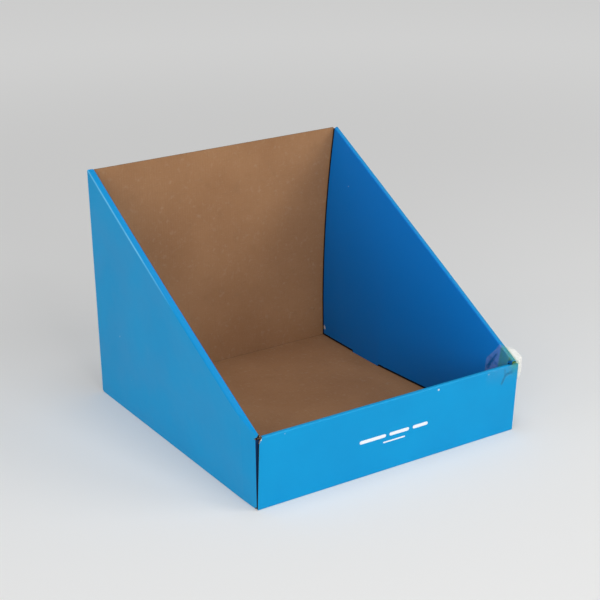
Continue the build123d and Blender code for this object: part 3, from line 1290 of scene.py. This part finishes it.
    def _mirror(self) -> None:
        """Add the left half and face the sheet's printed side out."""
        bm = self.bm
        half = [*bm.verts, *bm.edges, *bm.faces]
        bmesh.ops.mirror(bm, geom=half, matrix=Matrix.Identity(4), merge_dist=NEAR, axis="X")
        bmesh.ops.remove_doubles(bm, verts=bm.verts, dist=NEAR)
        bmesh.ops.recalc_face_normals(bm, faces=bm.faces)
        floor = next(f for f in bm.faces if f[self.tag] == Panel.FLOOR and abs(f.normal.z) > LEVEL)
        self.face_out(floor, -Axis.Z.unit)

    def _map_blank(self) -> None:
        """Map the sheet by its blank: across the flutes first, along them second, in metres."""
        blank = self.bm.loops.layers.uv.new("blank")
        crease_turn = math.atan(self.slope)
        inner_sin, inner_cos = math.sin(2 * crease_turn), math.cos(2 * crease_turn)
        for face in self.bm.faces:
            for loop in face.loops:
                x, y, z = loop.vert.co * METRES_PER_MM
                match face[self.tag]:
                    case Panel.FLOOR:
                        place = (x, y)
                    case Panel.FRONT | Panel.FRONT_ROLL | Panel.FRONT_INSIDE | Panel.BACK:
                        place = (x, z)
                    case Panel.SIDE:
                        place = (z, y)
                    case Panel.LEDGE:
                        place = (math.hypot(y, z) * math.sin(crease_turn), x)
                    case Panel.SIDE_INSIDE:
                        place = (z * inner_cos - y * inner_sin, y * inner_cos + z * inner_sin)
                    case Panel.BACK_FLAP:
                        place = (y, z)
                    case _:
                        place = (z, x)
                loop[blank].uv = place

    def _mark(self) -> None:
        """Mark how far the sheet lies in the hollow walls, how deep the painted shade on its print is, and
        how strongly its creases are marked.
        """
        hollow, shading = [self.bm.verts.layers.float.new(name) for name in ("hollow", "shading")]
        creased = self.bm.verts.layers.float["crease"]
        worn_length = self.ledge_mark_to - self.ledge_mark_from
        for vert in self.bm.verts:
            panels = self.panels_at(vert)
            x, y, z = vert.co
            # Painted shade: the floor and back under the inner panel, and the inner panel, the corner flap
            # and the open front ends whole
            if panels & {Panel.FLOOR, Panel.BACK}:
                inner_y, inner_z = min(y, self.panel_end_y), max(z, self.panel_foot)
                inner_x = self.panel_x(inner_y, inner_z) + self.sprung(inner_y, inner_z)
                vert[hollow] = abs(x) - inner_x
            elif panels <= {Panel.SIDE_INSIDE, Panel.CORNER_FLAP} or self._at_front_end(vert, panels):
                vert[hollow] = self.board
            else:
                vert[hollow] = -self.board
            # Painted shade on the print, deeper at the inner panel's front end
            vert[shading] = max(self.shade_depth.get(panel, 0.0) for panel in panels)
            if Panel.SIDE_INSIDE in panels and y < self.ledge_start_y + NEAR:
                vert[shading] = self.end_shade
            # The ledge crease's mark, with its painted highlight, fades out toward the front
            if panels <= {Panel.SIDE, Panel.LEDGE}:
                vert[creased] *= held((y - self.ledge_mark_from) / worn_length)

    def _at_front_end(self, vert: BMVert, panels: set[int]) -> bool:
        """Tell whether a point is on an end of the ledge or the front panel at the open front corner, which
        take painted shade.

        Args:
            vert: Point of the sheet.
            panels: Tags of its panels.

        Returns:
            Whether it is.
        """
        low = vert.co.z < self.front_top - self.worn_height
        on_ledge = Panel.LEDGE in panels and vert.co.y < self.side_start_y
        return on_ledge or (Panel.FRONT in panels and vert.is_boundary and low)

    def sprung(self, y: float, z: float) -> float:
        """Return how far an inner panel springs out ahead of its tab, at a depth and a height."""
        down = max(0.0, 1 - z / self.inner_crease(y).z)
        return self.spring * held((self.tab_front_y - y) / self.spring_length) * down**2

    def shift(self, co: Vector, panel: int) -> Vector:
        """Find how far a point of the hand-folded tray has moved from where it was drawn.

        Args:
            co: Point as drawn.
            panel: Tag of its panel.

        Returns:
            The move.
        """
        if panel in FRONT_PANELS:
            return Vector((co.z * self.front_rack, 0, 0))
        share = (co.y - self.front_y) / self.depth
        side = max(-1.0, min(1.0, co.x / (self.half_width - 2 * self.foot_inset)))
        front = self.lean_front + self.spread_front * side
        move = Vector((co.z * blend(front, self.lean_back, share), 0, 0))
        if co.x < 0:
            near = max(0.0, 1 - (co.y - self.front_y) / self.corner_reach)
            out = -co.x - self.half_width - self.lean(co.z) + self.ledge_run
            pull = blend(self.corner_foot_pull, self.corner_pull, co.z / self.front_height)
            move.x += pull * near**2 * held(out / self.ledge_run)
        if panel == Panel.SIDE_INSIDE:
            move.x += math.copysign(self.sprung(co.y, co.z), co.x)
        if panel == Panel.BACK:
            move.z = (self.back_tilt * co.x / self.half_width - self.back_sink) * co.z / self.back_height
        return move

    def wear(self, co: Vector) -> Vector:
        """Find how far the front wall is worn or pressed in at its two upper corners.

        Args:
            co: Point of the wall.

        Returns:
            The move.
        """
        above = max(0.0, 1 - (self.front_top - co.z) / self.worn_height)
        near = max(0.0, 1 - (self.half_width - abs(co.x)) / self.worn_length)
        leaning = self.end_lean * co.z / self.front_top * near
        if co.x < 0:
            return Vector((self.worn_left * above**2 * near - leaning, 0, 0))
        return Vector((leaning, 0, -self.worn_right * above * near * (2 - near)))

    def _settle(self) -> None:
        """Let the folded sheet lean and wave a little, and wear its front corners."""
        special = (*FRONT_PANELS, Panel.BACK, Panel.CORNER_FLAP, Panel.SIDE_INSIDE)
        self.bm.normal_update()
        moves = {}
        for vert in self.bm.verts:
            co, panels = vert.co, self.panels_at(vert)
            at_fold = self.flap_y - NEAR < co.y < self.flap_y + self.fold_radius + NEAR
            if at_fold and Panel.LEDGE not in panels:
                panels.add(Panel.CORNER_FLAP)
            panel = next((p for p in special if p in panels), Panel.SIDE)
            move = self.shift(co, panel)
            if panel in FRONT_PANELS:
                move += self.wear(co)
            wave = noise.noise(co / self.wobble_length) * self.wobble * min(1.0, co.z / self.grid_pitch)
            moves[vert] = move - vert.normal * abs(wave)
        for vert, move in moves.items():
            vert.co += move

    def dress(self, piece: Object, skins: list[Material]) -> None:
        """Give the folded sheet its thickness and its finishes.

        Args:
            piece: Folded sheet.
            skins: Materials in the order of the skins.
        """
        self.thicken(piece, self.board, skins)
        self.smooth(piece, self.sharp_angle)
        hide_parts("folded_tray")
        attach(piece, BODY)


@dataclass(frozen=True)
class Wrinkle:
    """A pinched line in one leaf of the film, in millimetres across the leaf and up."""

    leaf: Leaf
    start: Span
    end: Span
    width: float
    strength: float

    def at(self, co: Vector) -> float:
        """Find how strongly the film is pinched.

        Args:
            co: Point of the leaf.

        Returns:
            The strength there.
        """
        place = Vector((co.y if self.leaf == Leaf.PANEL else co.x, co.z))
        start, end = Vector(self.start), Vector(self.end)
        share = held(geometry.intersect_point_line(place, start, end)[1])
        return self.strength * max(0.0, 1 - (place - start.lerp(end, share)).length / self.width)


@dataclass
class CornerSeal(Sheet):
    """Clear film stuck over the right front corner, with a free edge that stands out past the side."""

    tray: FoldedTray
    film: float = 0.12
    lift: float = 0.22
    front_lift: float = 0.14
    crease_radius: float = 2.1
    crease_segments: int = 4
    sharp_angle: float = 70.0
    ledge_rear: Span = (-158.0, -161.5)
    ledge_rows: int = 8
    free_x: float = 179.3
    free_rise: float = 4.2
    free_round: float = 3.0
    panel_rows: tuple[tuple[Span, Span], ...] = (
        ((-174.4, 83.9), (-154.0, 91.5)),
        ((-174.4, 77.0), (-141.0, 77.0)),
        ((-174.4, 61.0), (-140.5, 61.0)),
    )
    seam_x: float = 166.0
    front_rows: tuple[Point, ...] = (
        (81.0, 179.3, 130.0),
        (75.0, 179.3, 128.8),
        (69.0, 178.9, 128.5),
        (65.0, 176.4, 129.2),
        (62.0, 172.9, 131.0),
        (60.0, 172.6, 134.5),
    )
    margin: float = 1.0
    grid_pitch: float = 1.5
    pucker: float = 0.16
    pucker_length: float = 7.0
    pinch: float = 0.6
    bridge_rear: float = -161.0
    panel_veil: float = 1.0
    ledge_veil: float = 1.45
    front_veil: float = 0.28
    front_bridge: float = 0.5
    corner_reach: float = 9.0
    limit_x: float = 179.55
    limit_y: float = -180.88
    wrinkles: tuple[Wrinkle, ...] = (
        Wrinkle(Leaf.PANEL, (-155.7, 85.2), (-150.5, 77.5), 3.0, 0.85),
        Wrinkle(Leaf.PANEL, (-150.5, 77.5), (-144.5, 67.8), 4.0, 1.0),
        Wrinkle(Leaf.PANEL, (-145.7, 80.1), (-160.0, 74.2), 3.0, 0.55),
        Wrinkle(Leaf.FRONT, (151.0, 61.8), (156.2, 71.0), 2.4, 0.90),
        Wrinkle(Leaf.FRONT, (156.2, 71.0), (155.0, 77.5), 2.6, 0.70),
        Wrinkle(Leaf.FRONT, (156.2, 71.0), (165.1, 72.5), 3.2, 0.85),
    )

    def __post_init__(self) -> None:
        """Work out the places that follow from the tray."""
        self.front_y = self.tray.front_y - self.front_lift
        self.ledge_lift = Vector((self.tray.ledge_rise, 0, self.tray.ledge_run)).normalized() * self.lift

    def crease(self, y: float, inner: bool) -> Vector:
        """Return the point of the film over a settled crease of the ledge."""
        point = self.tray.inner_crease(y) if inner else self.tray.outer_crease(y)
        return point + self.tray.shift(point, Panel.LEDGE) + self.ledge_lift

    def edge_x(self, z: float) -> float:
        """Return where the right edge of the settled front panel is at a height."""
        foot = Vector((self.tray.half_width - self.tray.front_foot_inset, self.front_y, z))
        return (foot + self.tray.shift(foot, Panel.FRONT) + self.tray.wear(foot)).x

    def on_panel(self, y: float, z: float) -> Vector:
        """Return the point of the film over the settled inner panel at a depth and a height."""
        point = Vector((self.tray.panel_x(y, z), y, z))
        return point + self.tray.shift(point, Panel.SIDE_INSIDE) - Axis.X.unit * self.lift

    def lengthwise(self, test: Callable[[Vector], bool]) -> list[BMEdge]:
        """Return the open edges that run along the ledge and whose two ends pass a test."""
        return [e for e in self.edges_at(test) if not meets(e.verts[0].co.y, e.verts[1].co.y)]

    def build(self) -> Object:
        """Fold the film over the corner.

        Returns:
            The piece, still without its thickness.
        """
        self.begin()
        self._ledge()
        self._panel()
        self._front()
        bm = self.bm
        bmesh.ops.remove_doubles(bm, verts=bm.verts, dist=NEAR)
        self.round_creases(self.crease_segments, Fold(self.crease_radius), {})
        for axis in Axis:
            places = [v.co[axis] for v in bm.verts]
            self.divide(axis, min(places), max(places), self.grid_pitch)
        bmesh.ops.recalc_face_normals(bm, faces=bm.faces)
        ledge = max((f for f in bm.faces if f[self.tag] == Leaf.LEDGE), key=BMFace.calc_area)
        self.face_out(ledge, Axis.Z.unit)
        self._lay()
        return self.finished("film_seal")

    def _ledge(self) -> None:
        """Lay the film over the ledge and run it on, free, past the outer crease."""
        inner_rear, outer_rear = self.ledge_rear
        inner = self.crease(self.front_y, True), self.crease(inner_rear, True)
        outer = self.crease(self.front_y, False), self.crease(outer_rear, False)
        face = self.bm.faces.new([self.bm.verts.new(co) for co in (*inner, *reversed(outer))])
        face[self.tag] = Leaf.LEDGE
        for index in range(1, self.ledge_rows):
            share = index / self.ledge_rows
            start, end = inner[0].lerp(inner[1], share), outer[0].lerp(outer[1], share)
            self.cut(start, (end - start).cross(Axis.Z.unit))
        middle = (inner[0].x + outer[0].x) / 2

        def free(co: Vector) -> Vector:
            """Run the film on past the crease, rounded off to the rear.

            Args:
                co: Point of the outer crease.

            Returns:
                The free edge beside it.
            """
            back = min(1.0, (co.y - self.front_y) / (outer_rear - self.front_y))
            out = (1 - back**self.free_round) ** (1 / self.free_round)
            rise = self.free_rise * (1 - back * back)
            return Vector((blend(co.x, self.free_x, out), co.y, co.z + rise))

        self.fold_on(self.lengthwise(lambda co: co.x > middle), free, Leaf.FREE)

    def _panel(self) -> None:
        """Run the film from the inner crease down the inner panel, wider to the rear."""
        middle = self.crease(self.front_y, True).x + self.margin
        edges = self.lengthwise(lambda co: co.x < middle)
        above = (self.front_y, self.ledge_rear[0])
        for (front_y, front_z), (rear_y, rear_z) in self.panel_rows:

            def down(co: Vector) -> Vector:
                """Return the point of the row below a point of the row above."""
                share = (co.y - above[0]) / (above[1] - above[0])
                return self.on_panel(blend(front_y, rear_y, share), blend(front_z, rear_z, share))

            edges = self.fold_on(edges, down, Leaf.PANEL)
            above = (front_y, rear_y)

    def _front(self) -> None:
        """Fold the film down over the front panel, and let it stand free past the panel's right edge."""
        edges = self.edges_at(lambda co: meets(co.y, self.front_y))
        for z, free_x, _ in self.front_rows:
            columns = (self.seam_x, self.edge_x(z), free_x)

            def down(co: Vector) -> Vector:
                """Return the point of the row below a point of the row above."""
                column = (co.x > self.seam_x + self.margin) + (co.x > self.edge_x(co.z) + self.margin / 2)
                return Vector((columns[column], self.front_y, z))

            edges = self.fold_on(edges, down, Leaf.FRONT)

        def leftward(co: Vector) -> Vector:
            """Return the left edge of the film beside a point of its seam."""
            left = min(self.front_rows, key=lambda row: abs(row[0] - co.z))[2]
            return Vector((left, self.front_y, co.z))

        seam = self.edges_at(lambda co: meets(co.x, self.seam_x) and meets(co.y, self.front_y))
        self.fold_on(seam, leftward, Leaf.FRONT)
        for face in self.bm.faces:
            centre = face.calc_center_median()
            if face[self.tag] == Leaf.FRONT and centre.x > self.edge_x(centre.z):
                face[self.tag] = Leaf.FREE

    def veil(self, co: Vector, leaf: Leaf) -> tuple[float, float]:
        """Find how strongly the film veils what is below it, and how far it bridges a hollow.

        Args:
            co: Point of the film.
            leaf: Its leaf.

        Returns:
            The two shares.
        """
        if leaf == Leaf.PANEL and co.y >= self.bridge_rear:
            return self.panel_veil, 0.0
        if leaf in (Leaf.PANEL, Leaf.LEDGE):
            return self.ledge_veil, 1.0
        low, high = self.front_rows[-1][0], self.front_rows[0][0]
        up = held((co.z - low) / (high - low))
        out = held((co.x - self.seam_x) / self.corner_reach + 1)
        veil = blend(self.front_veil, self.ledge_veil, out * up)
        return up * veil, max(self.front_bridge, out)

    def _lay(self) -> None:
        """Lay the film on the bowed panel, pucker it, and mark where it is free and where it is pinched."""
        bm = self.bm
        free, ridge, veil, bridge = [
            bm.verts.layers.float.new(name) for name in ("free", "ridge", "veil", "bridge")
        ]
        bm.normal_update()
        normals = {v: v.normal.copy() for v in bm.verts}
        for vert, normal in normals.items():
            leaves = self.panels_at(vert)
            if leaves == {Leaf.PANEL}:
                vert.co = self.on_panel(vert.co.y, vert.co.z)
            vert[free] = float(leaves == {Leaf.FREE})
            leaf = Leaf(min(leaves))
            vert[veil], vert[bridge] = self.veil(vert.co, leaf)
            vert[ridge] = max((w.at(vert.co) for w in self.wrinkles if w.leaf == leaf), default=0.0)
            wave = 0.5 + 0.5 * noise.noise(vert.co / self.pucker_length)
            vert.co += normal * (self.pucker * wave + self.pinch * vert[ridge])
            vert.co.x = min(vert.co.x, self.limit_x)
            vert.co.y = max(vert.co.y, self.limit_y)

    def dress(self, piece: Object, skin: Material) -> None:
        """Give the film its thickness and its finish.

        Args:
            piece: Folded film.
            skin: Its material.
        """
        self.thicken(piece, self.film, [skin])
        self.smooth(piece, self.sharp_angle)
        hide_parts("corner_seal")
        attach(piece, BODY)


@dataclass(frozen=True)
class Lamp:
    """A soft box, in metres and watts."""

    name: str
    place: Point
    power: float


@dataclass
class Studio:
    """Pale floor, soft lamps and the camera at the photo's angle, in metres."""

    floor_colour: Colour = (0.74, 0.74, 0.735, 1.0)
    floor_roughness: float = 0.85
    floor_glow: float = 0.20
    far_colour: Colour = (0.30, 0.30, 0.30, 1.0)
    far_glow: float = 0.70
    far_span: Span = (0.6, 2.4)
    floor_reach: float = 9.0
    world_colour: Colour = (1.0, 1.0, 1.0, 1.0)
    world_strength: float = 0.18
    world_seen: float = 0.52
    camera_place: Point = (-0.8475, -1.3299, 0.7344)
    camera_aim: Point = (0.0516, 0.0798, 0.1020)
    camera_roll: float = -0.78
    lens: float = 88.44
    sensor: float = 36.0
    lamp_size: float = 1.6
    lamp_aim: Point = (0.0, 0.0, 0.1)
    lamps: tuple[Lamp, ...] = (
        Lamp("front", (0.0, -2.72, 1.27), 26.0),
        Lamp("left_front", (-1.99, -1.99, 1.03), 24.0),
        Lamp("left", (-2.93, 0.0, 0.62), 25.0),
        Lamp("right_front", (1.92, -1.92, 1.27), 29.0),
        Lamp("top", (0.0, -0.1, 3.0), 22.0),
    )

    def build(self) -> None:
        """Set up the floor, the lamps, the world and the camera."""
        self._floor()
        for lamp in self.lamps:
            self._lamp(lamp)
        self._world()
        self._camera()
        bpy.context.scene.view_settings.view_transform = "Standard"

    def _floor(self) -> None:
        """Lay a large pale floor, which stays as pale far away where it is seen."""
        bm = bmesh.new()
        bmesh.ops.create_grid(bm, x_segments=1, y_segments=1, size=self.floor_reach)
        floor = meshed("studio_floor", bm)
        on = Surface("studio_floor")
        seen = self._seen(on)
        away = on.add("ShaderNodeVectorMath", on.where, operation="LENGTH").outputs["Value"]
        far = on.times(seen, on.step(away, *self.far_span))
        glow = on.step(away, *self.far_span, self.floor_glow, self.far_glow)
        on.wire(
            on.shader,
            Base_Color=on.mix(far, self.floor_colour, self.far_colour),
            Roughness=self.floor_roughness,
            Specular_IOR_Level=0.0,
            Emission_Color=self.floor_colour,
            Emission_Strength=on.times(seen, glow),
        )
        floor.data.materials.append(on.material)

    @staticmethod
    def _seen(bench: NodeBench) -> NodeSocket:
        """Mask what the camera sees, straight, mirrored or through something clear.

        Args:
            bench: Bench of the floor or the world.

        Returns:
            The mask.
        """
        ray = bench.add("ShaderNodeLightPath").outputs
        mirrored = bench.math("ADD", ray["Is Glossy Ray"], ray["Is Transmission Ray"], clamp=True)
        return bench.math("ADD", ray["Is Camera Ray"], mirrored, clamp=True)

    @staticmethod
    def _aimed(place: Point, aim: Point, roll: float = 0.0) -> Matrix:
        """Return the matrix of something that looks at a point along its own -Z, with a roll in degrees."""
        turn = (Vector(aim) - Vector(place)).to_track_quat("-Z", "Y").to_matrix().to_4x4()
        return Matrix.Translation(place) @ turn @ Matrix.Rotation(math.radians(roll), 4, "Z")

    def _lamp(self, lamp: Lamp) -> None:
        """Hang one soft box.

        Args:
            lamp: Its name, place and power.
        """
        data = bpy.data.lights.new(lamp.name, "AREA")
        data.size = self.lamp_size
        data.energy = lamp.power
        added(lamp.name, data).matrix_world = self._aimed(lamp.place, self.lamp_aim)

    def _world(self) -> None:
        """Light the scene evenly from all round, with a paler backdrop where it is seen."""
        world = bpy.data.worlds.new("studio")
        world.use_nodes = True
        bench = NodeBench(world.node_tree)
        paler = self.world_seen - self.world_strength
        strength = bench.math("MULTIPLY_ADD", self._seen(bench), paler, self.world_strength)
        bench.wire(world.node_tree.nodes["Background"], Color=self.world_colour, Strength=strength)
        bpy.context.scene.world = world

    def _camera(self) -> None:
        """Place the camera."""
        data = bpy.data.cameras.new("camera")
        data.lens = self.lens
        data.sensor_width = self.sensor
        camera = added("camera", data)
        camera.matrix_world = self._aimed(self.camera_place, self.camera_aim, self.camera_roll)
        bpy.context.scene.camera = camera


def main() -> None:
    """Build the tray, the seal and the studio."""
    logging.basicConfig(level=logging.INFO, format="%(name)s: %(message)s")
    effects = Effects()
    skins = [finish.material(effects) for finish in (SatinPrint(), BareKraft(), CutEdge())]
    tray = FoldedTray()
    sheet = tray.build()
    tray.dress(sheet, skins)
    LOG.info("%s: %d faces", sheet.name, len(sheet.data.polygons))
    seal = CornerSeal(tray)
    film = seal.build()
    seal.dress(film, ClearFilm().material(effects))
    LOG.info("%s: %d faces", film.name, len(film.data.polygons))
    Studio().build()


if __name__ == "__main__":
    main()
